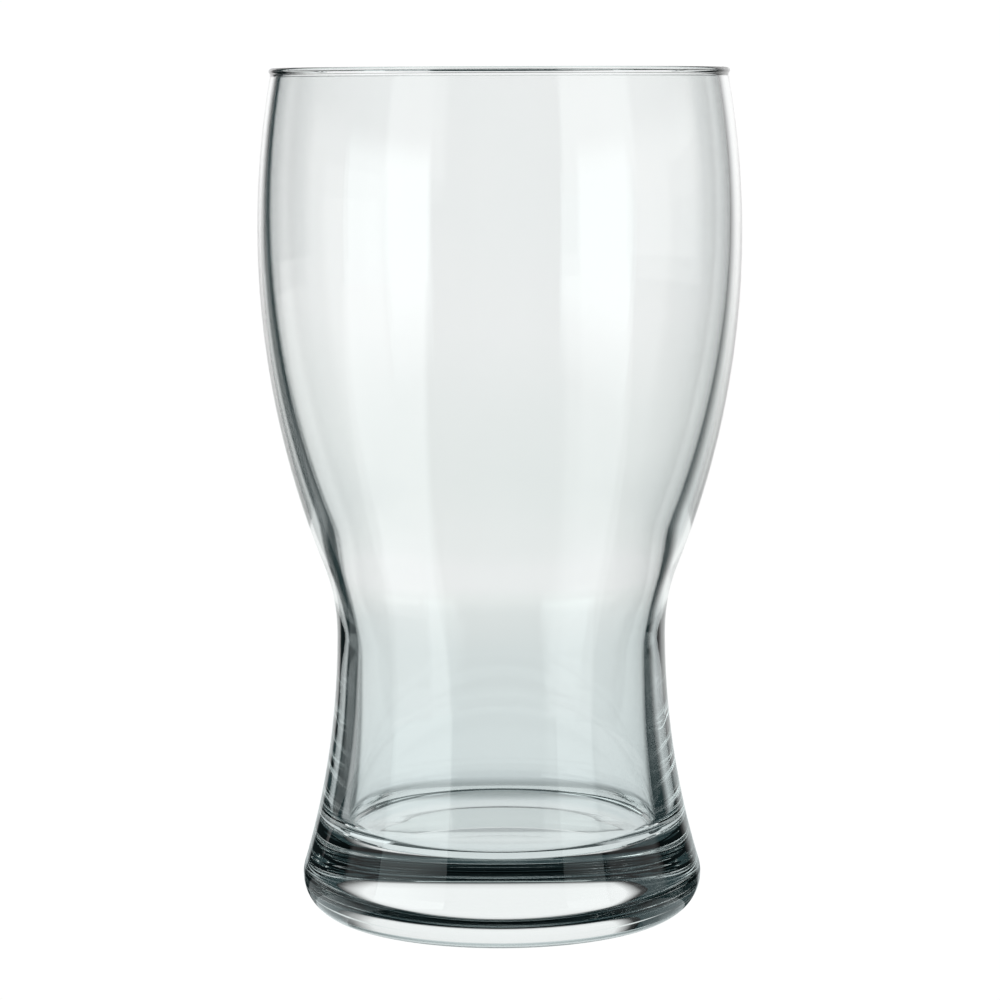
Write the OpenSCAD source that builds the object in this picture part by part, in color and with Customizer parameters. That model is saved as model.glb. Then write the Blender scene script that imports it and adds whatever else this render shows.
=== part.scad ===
// Pint glass: one blown piece of clear soda-lime glass with a heavy foot, a waist,
// a full belly and a fire-polished rim, drawn as the four zones it is formed in.
// The axis of the glass is Z and the foot stands on Z = 0.

/* [Overall] */
// Height from the table to the top of the rim
glass_h = 157; // [150:0.5:164]

/* [Outside] */
// Diameter at the widest place of the belly
belly_d = 89; // [86:0.5:92]
// Height of the widest place, as a share of the whole height
belly_at = 0.805; // [0.79:0.005:0.82]
// Diameter at the narrowest place of the waist
waist_d = 61; // [58:0.5:64]
// Height of the narrowest place, as a share of the whole height
waist_at = 0.338; // [0.32:0.002:0.36]
// Radius of the hollow curve that runs up out of the waist
waist_arc_r = 34.7; // [28:0.1:42]
// Diameter of the foot at its heel
foot_d = 74.4; // [70:0.2:78]
// Radius of the rounded heel
heel_r = 7.5; // [5:0.5:8]

/* [Inside] */
// Diameter of the inside at its widest place
in_belly_d = 84.65; // [82:0.05:86]
// How much higher the inside is widest than the outside, which thins the wall upwards
belly_lift = 2.6; // [1:0.2:4]
// Diameter of the inside at its narrowest place
in_waist_d = 53.9; // [51:0.1:56]
// How much lower the inside is narrowest than the outside
waist_drop = 7.2; // [3:0.2:10]
// Radius of the hollow curve inside, from the narrowest place up
in_waist_arc_r = 81; // [50:1:100]
// Diameter of the inside at its floor
floor_d = 57.9; // [56.5:0.1:59]
// Height of the inside floor at the edge of its dish
floor_z = 15; // [12:0.5:18]
// Depth of the dish in the inside floor
floor_dish = 0.8; // [0.4:0.1:1.5]
// Radius of the curve between the inside floor and the wall
floor_corner_r = 4; // [3:0.5:6]

/* [Rim] */
// Height of the fire-polished bead
bead_h = 1.24; // [1:0.02:1.6]
// How far the bead stands proud of the outside of the wall
bead_out = 0.28; // [0.1:0.02:0.5]
// How far the bead stands proud of the inside of the wall
bead_in = 0.12; // [0.04:0.02:0.3]

/* [Base] */
// Diameter of the push-up under the foot
pushup_d = 52; // [44:1:54]
// Height of the push-up under the foot
pushup_h = 1.4; // [0.6:0.1:2]

/* [Hidden] */

// Smoothness of the drawn curves
$fn = 360;

GLASS = [0.80, 0.86, 0.85, 0.45];

// How far two arcs that meet smoothly cut into each other, so that they cross cleanly
bite = 0.002;

// Radii are kept to a thousandth of a millimetre
function micron(length) = round(length * 1000) / 1000;

// Radius of an arc from its widest or narrowest place to a point a way in and a way up
function arc_through(inward, upward) =
    micron((inward * inward + upward * upward) / (2 * inward));

// Radius at height z on an arc whose widest place is r at height z_wide
function bulge_r(r, z_wide, arc_r, z) =
    r - arc_r + sqrt(arc_r * arc_r - (z - z_wide) * (z - z_wide));

// Two arcs lead from a widest place down to a narrowest place and meet smoothly.
// ogee_arc gives the wide one's radius, and ogee_turn the angle both turn through.
function ogee_arc(fall, climb, narrow_arc_r, cut) =
    micron((fall * fall + climb * climb - cut * cut) / (2 * (fall - cut)) - narrow_arc_r);
function ogee_turn(fall, climb) = 2 * atan(fall / climb);

// Radius of an arc that runs down from its narrowest place to touch a rounded edge,
// whose middle is a way in and a way down from there
function flare_arc(inward, down, edge_r) =
    micron((inward * inward + down * down - pow(edge_r - bite, 2))
        / (2 * (edge_r - bite - inward)));

// Height at which that arc touches the rounded edge
function touch_z(down, arc_r, edge_r) = edge_r * down / (arc_r + edge_r);

// Outside, from the belly down to the waist
belly_r = belly_d / 2;
waist_r = waist_d / 2;
belly_z = belly_at * glass_h;
waist_z = waist_at * glass_h;
neck_z = glass_h - bead_h;
belly_arc_r = ogee_arc(belly_r - waist_r, belly_z - waist_z, waist_arc_r, 0);
turn_z = belly_z - belly_arc_r * sin(ogee_turn(belly_r - waist_r, belly_z - waist_z));
neck_r = bulge_r(belly_r, belly_z, belly_arc_r, neck_z);

// Outside, from the waist down to the heel
heel_x = foot_d / 2 - heel_r;
flare_arc_r = flare_arc(waist_r - heel_x, waist_z - heel_r, heel_r);
heel_z = heel_r + touch_z(waist_z - heel_r, flare_arc_r, heel_r);

// Inside, from the belly down to the waist
in_belly_r = in_belly_d / 2;
in_waist_r = in_waist_d / 2;
in_belly_z = belly_z + belly_lift;
in_waist_z = waist_z - waist_drop;
in_fall = in_belly_r - in_waist_r;
in_climb = in_belly_z - in_waist_z;
in_belly_arc_r = ogee_arc(in_fall, in_climb, in_waist_arc_r, bite);
in_turn_z = in_belly_z - in_belly_arc_r * sin(ogee_turn(in_fall, in_climb));
in_neck_r = bulge_r(in_belly_r, in_belly_z, in_belly_arc_r, neck_z);

// Inside, from the waist down to the dished floor
corner_x = floor_d / 2 - floor_corner_r;
corner_z = floor_z + floor_corner_r;
in_flare_arc_r = flare_arc(in_waist_r - corner_x, in_waist_z - corner_z, floor_corner_r);
in_flare_z = corner_z + touch_z(in_waist_z - corner_z, in_flare_arc_r, floor_corner_r);
dish_arc_r = arc_through(floor_dish, corner_x);

// Push-up
pushup_arc_r = arc_through(pushup_h, pushup_d / 2);

// All the outlines below fill the half plane between the axis and one curve,
// over the heights z0 to z1.

module band(z0, z1) {
    translate([0, z0]) square([belly_d, z1 - z0]);
}

// Curve that swells outwards, widest at r and z
module swell(z0, z1, r, z, arc_r) {
    intersection() {
        band(z0, z1);
        translate([r - arc_r, z]) circle(r = arc_r);
    }
}

// Curve that draws inwards, narrowest at r and z
module pinch(z0, z1, r, z, arc_r) {
    difference() {
        translate([0, z0]) square([r + arc_r, z1 - z0]);
        translate([r + arc_r, z]) circle(r = arc_r);
    }
}

module heel_outline() {
    square([heel_x, heel_z]);
    translate([heel_x, heel_r]) circle(r = heel_r);
}

module dish_outline() {
    intersection() {
        band(floor_z - floor_dish, floor_z);
        translate([0, floor_z - floor_dish + dish_arc_r]) circle(r = dish_arc_r);
    }
}

module pushup_outline() {
    intersection() {
        band(0, pushup_h);
        translate([0, pushup_h - pushup_arc_r]) circle(r = pushup_arc_r);
    }
}

module corner_outline() {
    translate([0, floor_z]) square([corner_x, 2 * floor_corner_r]);
    translate([corner_x, corner_z]) circle(r = floor_corner_r);
}

module bead_outline() {
    end_r = bead_h / 2;
    inner_x = in_neck_r - bead_in + end_r;
    outer_x = neck_r + bead_out - end_r;
    translate([in_neck_r, neck_z]) square([neck_r - in_neck_r, end_r]);
    translate([inner_x, neck_z]) square([outer_x - inner_x, bead_h]);
    for (x = [inner_x, outer_x]) {
        translate([x, neck_z + end_r]) circle(r = end_r);
    }
}

// Solid foot: heel, push-up below and dished floor above
module foot() {
    color(GLASS) rotate_extrude() difference() {
        union() {
            heel_outline();
            pinch(heel_z, floor_z, waist_r, waist_z, flare_arc_r);
        }
        dish_outline();
        pushup_outline();
    }
}

// Wall from the floor up through the waist, to where it turns out into the belly
module waist() {
    color(GLASS) rotate_extrude() difference() {
        union() {
            pinch(floor_z, waist_z, waist_r, waist_z, flare_arc_r);
            pinch(waist_z, turn_z, waist_r, waist_z, waist_arc_r);
        }
        corner_outline();
        pinch(in_flare_z, in_waist_z, in_waist_r, in_waist_z, in_flare_arc_r);
        pinch(in_waist_z, turn_z, in_waist_r, in_waist_z, in_waist_arc_r);
    }
}

// Wall of the belly, up to the bead
module bowl() {
    color(GLASS) rotate_extrude() difference() {
        swell(turn_z, neck_z, belly_r, belly_z, belly_arc_r);
        swell(turn_z, neck_z, in_belly_r, in_belly_z, in_belly_arc_r);
        pinch(turn_z, in_turn_z, in_waist_r, in_waist_z, in_waist_arc_r);
    }
}

// Fire-polished bead on the top of the wall
module rim() {
    color(GLASS) rotate_extrude() bead_outline();
}

foot();
waist();
bowl();
rim();
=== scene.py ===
import math

import bpy
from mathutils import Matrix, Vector


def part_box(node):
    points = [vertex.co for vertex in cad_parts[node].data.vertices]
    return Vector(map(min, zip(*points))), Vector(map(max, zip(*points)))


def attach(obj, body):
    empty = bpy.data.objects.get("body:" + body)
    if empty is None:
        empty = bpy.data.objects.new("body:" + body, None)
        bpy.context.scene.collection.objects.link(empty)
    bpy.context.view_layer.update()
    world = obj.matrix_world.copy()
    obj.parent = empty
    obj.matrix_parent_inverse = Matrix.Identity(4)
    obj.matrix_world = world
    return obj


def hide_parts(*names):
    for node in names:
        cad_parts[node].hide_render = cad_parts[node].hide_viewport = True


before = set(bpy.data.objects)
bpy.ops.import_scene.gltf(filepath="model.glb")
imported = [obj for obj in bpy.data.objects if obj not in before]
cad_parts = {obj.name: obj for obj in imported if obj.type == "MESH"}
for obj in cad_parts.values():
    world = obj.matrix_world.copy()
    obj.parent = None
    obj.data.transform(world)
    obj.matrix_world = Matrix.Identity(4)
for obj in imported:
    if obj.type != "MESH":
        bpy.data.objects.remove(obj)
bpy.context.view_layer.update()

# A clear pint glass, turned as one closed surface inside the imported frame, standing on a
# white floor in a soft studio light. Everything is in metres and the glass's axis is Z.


# ---- Sizes ------------------------------------------------------------------------------

MM = 0.001

foot_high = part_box("foot")[1]
waist_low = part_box("waist")[0]
bowl_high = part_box("bowl")[1]
rim_low, rim_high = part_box("rim")

BELLY_R = bowl_high.x
FOOT_R = foot_high.x
WAIST_R = 30.5 * MM
FLOOR_Z = waist_low.z
NECK_Z = rim_low.z
TOP_Z = rim_high.z
# The widest and the narrowest place, as shares of the whole height
BELLY_Z = 0.805 * TOP_Z
WAIST_Z = 0.338 * TOP_Z
HEEL_ARC_R = 7.5 * MM
WAIST_ARC_R = 34.7 * MM

IN_BELLY_R = 42.325 * MM
IN_WAIST_R = 26.95 * MM
IN_FLOOR_R = 28.95 * MM
IN_BELLY_Z = BELLY_Z + 2.6 * MM
IN_WAIST_Z = WAIST_Z - 7.2 * MM
IN_WAIST_ARC_R = 81 * MM

BEAD_OUT = 0.28 * MM
BEAD_IN = 0.12 * MM
BEAD_FILLET = 0.5 * MM
# How far below the bead the wall is drawn in finer steps
NECK_H = 1.6 * MM

FLOOR_DISH = 0.8 * MM
CORNER_R = 4 * MM
PUSHUP_R = 26 * MM
PUSHUP_H = 1.4 * MM
PUSHUP_FILLET = 8 * MM

SPOKES = 360


# ---- Outline ----------------------------------------------------------------------------

class Arc:
    """An arc in the half plane of radius and height, from one angle to another."""

    def __init__(self, centre, radius, start, end, points):
        self.centre = Vector(centre)
        self.radius = radius
        self.start = start
        self.end = end
        self.points = points

    def at(self, angle):
        return self.centre + self.radius * Vector((math.cos(angle), math.sin(angle)))

    def walk(self):
        """Points along the arc, with the last one left to the next arc."""
        step = (self.end - self.start) / self.points
        return [self.at(self.start + step * i) for i in range(self.points)]


def angle_of(centre, point):
    away = Vector(point) - Vector(centre)
    return math.atan2(away.y, away.x)


def arc_through(inward, upward):
    """Radius of an arc from its widest place to a point a way in and a way up."""
    return (inward ** 2 + upward ** 2) / (2 * inward)


def crossing(centre_a, radius_a, centre_b, radius_b, side):
    """Where two circles cross, on the left (1) or right (-1) of the line from a to b."""
    a, b = Vector(centre_a), Vector(centre_b)
    along = b - a
    gap = along.length
    reach = (radius_a ** 2 - radius_b ** 2 + gap ** 2) / (2 * gap)
    off = math.sqrt(radius_a ** 2 - reach ** 2)
    along.normalize()
    return a + along * reach + Vector((-along.y, along.x)) * off * side


def ogee(wide_r, wide_z, narrow_r, narrow_z, narrow_arc_r):
    """Two arcs from a widest place down to a narrowest: their middles, the wide one's
    radius and the angle that both turn through."""
    fall, climb = wide_r - narrow_r, wide_z - narrow_z
    wide_arc_r = arc_through(fall, climb) - narrow_arc_r
    wide_c = Vector((wide_r - wide_arc_r, wide_z))
    narrow_c = Vector((narrow_r + narrow_arc_r, narrow_z))
    return wide_c, wide_arc_r, narrow_c, 2 * math.atan(fall / climb)


def flare(narrow_r, narrow_z, edge_c, edge_r):
    """An arc from a narrowest place down to touch a rounded edge: its middle, radius and turn."""
    inward, down = narrow_r - edge_c.x, narrow_z - edge_c.y
    arc_r = (inward ** 2 + down ** 2 - edge_r ** 2) / (2 * (edge_r - inward))
    return Vector((narrow_r + arc_r, narrow_z)), arc_r, math.asin(down / (arc_r + edge_r))


def on_arc(centre, radius, height):
    """How far out an arc is at a height."""
    return centre.x + math.sqrt(radius ** 2 - (height - centre.y) ** 2)


def outline():
    """The glass's outline from the middle of the push-up, out and up, and in to the floor.
    Each arc ends with how many steps it is drawn in."""
    down, up, whole = -math.pi / 2, math.pi / 2, 2 * math.pi

    belly_c, belly_r, waist_c, turn = ogee(BELLY_R, BELLY_Z, WAIST_R, WAIST_Z, WAIST_ARC_R)
    heel_c = Vector((FOOT_R - HEEL_ARC_R, HEEL_ARC_R))
    flare_c, flare_r, heel_turn = flare(WAIST_R, WAIST_Z, heel_c, HEEL_ARC_R)

    in_belly_c, in_belly_r, in_waist_c, in_turn = ogee(
        IN_BELLY_R, IN_BELLY_Z, IN_WAIST_R, IN_WAIST_Z, IN_WAIST_ARC_R)
    corner_x = IN_FLOOR_R - CORNER_R
    dish_r = arc_through(FLOOR_DISH, corner_x)
    dish_c = Vector((0, FLOOR_Z - FLOOR_DISH + dish_r))
    corner_c = Vector((corner_x, dish_c.y - math.sqrt((dish_r - CORNER_R) ** 2 - corner_x ** 2)))
    in_flare_c, in_flare_r, corner_turn = flare(IN_WAIST_R, IN_WAIST_Z, corner_c, CORNER_R)
    dish_edge = angle_of(dish_c, corner_c)

    bead_r = (TOP_Z - NECK_Z) / 2
    bead_out_c = Vector((on_arc(belly_c, belly_r, NECK_Z) + BEAD_OUT - bead_r, TOP_Z - bead_r))
    bead_in_c = Vector((on_arc(in_belly_c, in_belly_r, NECK_Z) - BEAD_IN + bead_r, TOP_Z - bead_r))
    fillet_out_c = crossing(belly_c, belly_r + BEAD_FILLET, bead_out_c, bead_r + BEAD_FILLET, -1)
    fillet_in_c = crossing(in_belly_c, in_belly_r - BEAD_FILLET, bead_in_c, bead_r + BEAD_FILLET, 1)
    belly_top = angle_of(belly_c, fillet_out_c)
    in_belly_top = angle_of(in_belly_c, fillet_in_c)

    pushup_r = arc_through(PUSHUP_H, PUSHUP_R)
    pushup_c = Vector((0, PUSHUP_H - pushup_r))
    ring_x = math.sqrt((pushup_r + PUSHUP_FILLET) ** 2 - (PUSHUP_FILLET - pushup_c.y) ** 2)
    ring_c = Vector((ring_x, PUSHUP_FILLET))
    ring_edge = angle_of(pushup_c, ring_c)

    return [
        Arc(pushup_c, pushup_r, up, ring_edge, 10),
        Arc(ring_c, PUSHUP_FILLET, ring_edge - math.pi, down, 4),
        Arc(heel_c, HEEL_ARC_R, down, heel_turn, 40),
        Arc(flare_c, flare_r, math.pi + heel_turn, math.pi, 22),
        Arc(waist_c, WAIST_ARC_R, math.pi, math.pi - turn, 10),
        Arc(belly_c, belly_r, -turn, belly_top - NECK_H / belly_r, 38),
        Arc(belly_c, belly_r, belly_top - NECK_H / belly_r, belly_top, 7),
        Arc(fillet_out_c, BEAD_FILLET, angle_of(fillet_out_c, belly_c) % whole,
            angle_of(fillet_out_c, bead_out_c) % whole, 6),
        Arc(bead_out_c, bead_r, angle_of(bead_out_c, fillet_out_c), up, 24),
        Arc(bead_in_c, bead_r, up, angle_of(bead_in_c, fillet_in_c) % whole, 24),
        Arc(fillet_in_c, BEAD_FILLET, angle_of(fillet_in_c, bead_in_c), in_belly_top, 6),
        Arc(in_belly_c, in_belly_r, in_belly_top, in_belly_top - NECK_H / in_belly_r, 7),
        Arc(in_belly_c, in_belly_r, in_belly_top - NECK_H / in_belly_r, -in_turn, 30),
        Arc(in_waist_c, IN_WAIST_ARC_R, math.pi - in_turn, math.pi, 14),
        Arc(in_flare_c, in_flare_r, math.pi, math.pi + corner_turn, 14),
        Arc(corner_c, CORNER_R, corner_turn, dish_edge, 14),
        Arc(dish_c, dish_r, dish_edge, down, 7),
    ]


# ---- Glass ------------------------------------------------------------------------------

def new_mesh_object(name, vertices, faces, material):
    mesh = bpy.data.meshes.new(name)
    mesh.from_pydata(vertices, [], faces)
    mesh.materials.append(material)
    mesh.polygons.foreach_set("use_smooth", [True] * len(mesh.polygons))
    mesh.validate()
    piece = bpy.data.objects.new(name, mesh)
    bpy.context.scene.collection.objects.link(piece)
    return piece


def turned(name, arcs, material):
    """A closed solid of revolution: the outline's arcs, turned about Z."""
    points = [p for arc in arcs for p in arc.walk()][1:]
    top = arcs[0].at(arcs[0].start).y
    bottom = arcs[-1].at(arcs[-1].end).y
    vertices = []
    for p in points:
        for i in range(SPOKES):
            turn = 2 * math.pi * i / SPOKES
            vertices.append((p.x * math.cos(turn), p.x * math.sin(turn), p.y))
    faces = []
    for ring in range(len(points) - 1):
        a, b = ring * SPOKES, (ring + 1) * SPOKES
        for i in range(SPOKES):
            j = (i + 1) % SPOKES
            faces.append((a + i, a + j, b + j, b + i))
    last = (len(points) - 1) * SPOKES
    under, floor = len(vertices), len(vertices) + 1
    vertices += [(0, 0, top), (0, 0, bottom)]
    for i in range(SPOKES):
        j = (i + 1) % SPOKES
        faces.append((under, j, i))
        faces.append((floor, last + i, last + j))
    return new_mesh_object(name, vertices, faces, material)


GLASS_IOR = 1.52
# Light that goes deep into the glass turns green; the density is per metre.
DEEP_GREEN = (0.72, 0.86, 0.84)
DEEP_DENSITY = 2.5
# The cast of the melt is never quite even: it drifts between two faint greens.
CLOUDS_PER_M = 30
CLOUD_DETAIL = 2
CASTS = ((0.975, 0.992, 0.99), (0.99, 1, 0.998))
CAST_ENDS = (0.3, 0.7)


def clear_glass():
    material = bpy.data.materials.new("clear_glass")
    material.use_nodes = True
    nodes, links = material.node_tree.nodes, material.node_tree.links
    surface = nodes["Principled BSDF"]
    surface.inputs["Roughness"].default_value = 0
    surface.inputs["IOR"].default_value = GLASS_IOR
    surface.inputs["Transmission Weight"].default_value = 1
    place = nodes.new("ShaderNodeTexCoord")
    cloud = nodes.new("ShaderNodeTexNoise")
    cloud.inputs["Scale"].default_value = CLOUDS_PER_M
    cloud.inputs["Detail"].default_value = CLOUD_DETAIL
    casts = nodes.new("ShaderNodeValToRGB")
    for element, at, colour in zip(casts.color_ramp.elements, CAST_ENDS, CASTS):
        element.position = at
        element.color = (*colour, 1)
    links.new(place.outputs["Object"], cloud.inputs["Vector"])
    links.new(cloud.outputs["Fac"], casts.inputs["Fac"])
    links.new(casts.outputs["Color"], surface.inputs["Base Color"])
    tint = nodes.new("ShaderNodeVolumeAbsorption")
    tint.inputs["Color"].default_value = (*DEEP_GREEN, 1)
    tint.inputs["Density"].default_value = DEEP_DENSITY
    links.new(tint.outputs["Volume"], nodes["Material Output"].inputs["Volume"])
    return material


glass = turned("pint_glass", outline(), clear_glass())
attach(glass, "root")
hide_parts("foot", "waist", "bowl", "rim")


# ---- Studio -----------------------------------------------------------------------------

# Turns are in degrees about Z: 0 is straight behind the glass and 90 is to its right.
# Light levels are given where they change, as (turn or place, level), and fade between.

WHITE = (1, 1, 1)
PALE = (0.9, 1, 1)
PATCH = (0.7, 0.755, 0.76)
DUSK = (0.58, 1, 1.08)
DUSK_LEVEL = 0.05
DARK = (0.026, 0.042, 0.044)


def flat_place(turn, distance, z):
    return (distance * math.sin(math.radians(turn)), distance * math.cos(math.radians(turn)), z)


def glow(name, colour, strength, along=None, up=None):
    """A lamp's surface, its light fading along and up it by two lists of levels."""
    material = bpy.data.materials.new(name)
    material.use_nodes = True
    nodes, links = material.node_tree.nodes, material.node_tree.links
    nodes.remove(nodes["Principled BSDF"])
    lamp = nodes.new("ShaderNodeEmission")
    lamp.inputs["Color"].default_value = (*colour, 1)
    lamp.inputs["Strength"].default_value = strength
    links.new(lamp.outputs["Emission"], nodes["Material Output"].inputs["Surface"])
    if along is None:
        return material
    place = nodes.new("ShaderNodeUVMap")
    split = nodes.new("ShaderNodeSeparateXYZ")
    links.new(place.outputs["UV"], split.inputs["Vector"])
    both = nodes.new("ShaderNodeVectorMath")
    both.operation = "MULTIPLY"
    for socket, axis, stops in ((0, "X", along), (1, "Y", up)):
        first, last = stops[0][0], stops[-1][0]
        ramp = nodes.new("ShaderNodeValToRGB")
        ramp.color_ramp.interpolation = "LINEAR"
        while len(ramp.color_ramp.elements) < len(stops):
            ramp.color_ramp.elements.new(1)
        for element, (at, level) in zip(ramp.color_ramp.elements, stops):
            element.position = (at - first) / (last - first)
            level = level if isinstance(level, tuple) else (level, level, level)
            element.color = (*level, 1)
        links.new(split.outputs[axis], ramp.inputs["Fac"])
        links.new(ramp.outputs["Color"], both.inputs[socket])
    tinted = nodes.new("ShaderNodeVectorMath")
    tinted.operation = "MULTIPLY"
    tinted.inputs[1].default_value = colour
    links.new(both.outputs["Vector"], tinted.inputs[0])
    links.new(tinted.outputs["Vector"], lamp.inputs["Color"])
    return material


def grid(name, columns, rows, place, material, for_camera=False):
    """A stage surface of columns by rows, whose UVs run from 0 to 1 across and up it."""
    vertices, marks, faces = [], [], []
    for j in range(rows + 1):
        for i in range(columns + 1):
            vertices.append(place(i / columns, j / rows))
            marks.append((i / columns, j / rows))
    wide = columns + 1
    for j in range(rows):
        for i in range(columns):
            a = j * wide + i
            faces.append((a, a + 1, a + 1 + wide, a + wide))
    piece = new_mesh_object(name, vertices, faces, material)
    layer = piece.data.uv_layers.new(name="UVMap")
    for loop in piece.data.loops:
        layer.data[loop.index].uv = marks[loop.vertex_index]
    piece.visible_camera = for_camera
    piece.visible_diffuse = piece.visible_glossy = not for_camera
    piece.visible_transmission = piece.visible_shadow = not for_camera
    return piece


def between(ends, share):
    return ends[0] + (ends[1] - ends[0]) * share


def screen(name, colour, strength, distance, along, up):
    """An upright curved screen about the glass; up gives levels by height angle."""
    turns, rises = (along[0][0], along[-1][0]), (up[0][0], up[-1][0])
    heights = [distance * math.tan(math.radians(rise)) for rise in rises]
    up = [(distance * math.tan(math.radians(rise)), level) for rise, level in up]
    grid(name, 24, 1, lambda u, v: flat_place(between(turns, u), distance, between(heights, v)),
         glow(name + "_glow", colour, strength, along, up))


# What the camera sees: a white floor and white all round it.
FLOOR_GAP = 0.2 * MM
FLOOR_R = 4
BACKDROP_R = 5
OVER_WHITE = 1.02

grid("floor", 1, 1, lambda u, v: (between((-FLOOR_R, FLOOR_R), u), between((-FLOOR_R, FLOOR_R), v),
                                  -FLOOR_GAP),
     glow("floor_white", WHITE, OVER_WHITE), for_camera=True)
grid("backdrop", 48, 24, lambda u, v: tuple(BACKDROP_R * c for c in (
    math.cos(math.pi * (v - 0.5)) * math.cos(2 * math.pi * u),
    math.cos(math.pi * (v - 0.5)) * math.sin(2 * math.pi * u),
    math.sin(math.pi * (v - 0.5)))),
     glow("backdrop_white", WHITE, OVER_WHITE), for_camera=True)

# What the glass sees: a glowing table top, bright behind it and otherwise dark but for a
# few lit strips, with a painted shadow of the heel (a dimmer ring in the table's glow) round a
# light patch under the foot,
ROOM_R = 1.1
PATCH_R = 33 * MM
FAN_R = 33 * MM
FAN_TURN = 22
round_table = [(-180, DARK), (-148, DARK), (-147, 1.3), (-104, 1.3), (-102, 0.5), (-50, 0.5),
               (-46.5, DARK), (-27.5, DARK), (-23, 1), (27, 1), (32, 0.55), (36, 0.2),
               (40, DARK), (117, DARK), (118, 0.9), (143, 0.9), (145, 0.6), (150, 0.6),
               (153, DARK), (180, DARK)]
# Levels of the table's glow going out from the glass; the dim ring about 38 to 46 mm out is a
# painted shadow of the heel.
out_table = [(0, (0.68, 0.74, 0.75)), (0.034, (0.68, 0.74, 0.75)), (0.038, (0.33, 0.37, 0.375)),
             (0.046, (0.33, 0.37, 0.375)), (0.06, (0.66, 0.72, 0.73)),
             (0.1, (0.72, 0.78, 0.785)), (0.3, (0.85, 0.88, 0.875)),
             (0.5, (0.94, 0.96, 0.95)), (ROOM_R, (1.0, 1.0, 1.0))]


def table_place(turn, distance):
    """A place on the table, whose strips fan out from the sides of the glass, not its axis."""
    x, y, z = flat_place(turn, distance, -2 * FLOOR_GAP)
    if abs(turn) > 90:
        aside = math.sin(math.radians(turn))
    else:
        aside = max(-1, min(1, turn / FAN_TURN))
    return (x + FAN_R * aside, y, z)


grid("table", 180, 12,
     lambda u, v: table_place(between((-180, 180), u), ROOM_R * v),
     glow("table_glow", WHITE, 1, round_table, out_table))
grid("patch", 72, 1,
     lambda u, v: flat_place(between((-180, 180), u), PATCH_R * v, -FLOOR_GAP),
     glow("patch_glow", PATCH, 1))

# a broad screen behind, a wide box to each side in front, a panel high up behind,
screen("light_back", WHITE, 1.0, ROOM_R,
       [(-31, 0), (-28.5, 0.05), (-23.5, 1), (28, 1), (33.5, 0.55), (37.5, 0.2), (42, 0)],
       [(-1, 1), (18, 1), (26, 0.8), (31, 0.2), (35, 0)])
screen("light_left", PALE, 1.4, 1, [(-147.5, 0), (-147, 1), (-104, 1), (-103, 0)],
       [(-2, 1), (14, 1), (18, 0)])
screen("light_right", PALE, 0.95, 1, [(117, 0), (118, 1), (143, 1), (143.5, 0)],
       [(-2, 1), (14, 1), (18, 0)])
PANEL_Z = 1
PANEL_HALF_W = 0.5
# Height angles of the panel's near and far edges
PANEL_RISES = (71, 38)
grid("light_top", 1, 1,
     lambda u, v: (between((-PANEL_HALF_W, PANEL_HALF_W), u),
                   PANEL_Z / math.tan(math.radians(between(PANEL_RISES, v))), PANEL_Z),
     glow("top_glow", PALE, 0.64))

# and a dim white wall out to each side.
screen("wall_left", WHITE, 0.5, ROOM_R, [(-103, 1), (-80, 1), (-76, 0)],
       [(-1, 1), (14, 1), (19, 0)])
screen("wall_right", WHITE, 0.55, ROOM_R, [(70, 0), (76, 1), (112, 1), (117, 0)],
       [(-1, 1), (14, 1), (19, 0)])

room = bpy.data.worlds.new("room")
bpy.context.scene.world = room
room.use_nodes = True
room.node_tree.nodes["Background"].inputs["Color"].default_value = (*DUSK, 1)
room.node_tree.nodes["Background"].inputs["Strength"].default_value = DUSK_LEVEL


# ---- Camera -----------------------------------------------------------------------------

CAMERA_SIDE = 0.13 * MM
CAMERA_DISTANCE = 0.6373
CAMERA_HEIGHT = 0.153
CAMERA_PITCH = math.radians(6.767)
CAMERA_ROLL = math.radians(0.2)
CAMERA_LENS = 124.5
CAMERA_NEAR = 0.01

camera = bpy.data.objects.new("camera", bpy.data.cameras.new("camera"))
bpy.context.scene.collection.objects.link(camera)
bpy.context.scene.camera = camera
camera.data.lens = CAMERA_LENS
camera.data.clip_start = CAMERA_NEAR
camera.location = (CAMERA_SIDE, -CAMERA_DISTANCE, CAMERA_HEIGHT)
camera.rotation_euler = (math.pi / 2 - CAMERA_PITCH, CAMERA_ROLL, 0)

bpy.context.scene.view_settings.view_transform = "Standard"
# Light turns many times inside the heavy foot.
DEEP_BOUNCES = 24
bpy.context.scene.cycles.max_bounces = DEEP_BOUNCES
bpy.context.scene.cycles.transmission_bounces = DEEP_BOUNCES
bpy.context.scene.cycles.glossy_bounces = DEEP_BOUNCES // 2
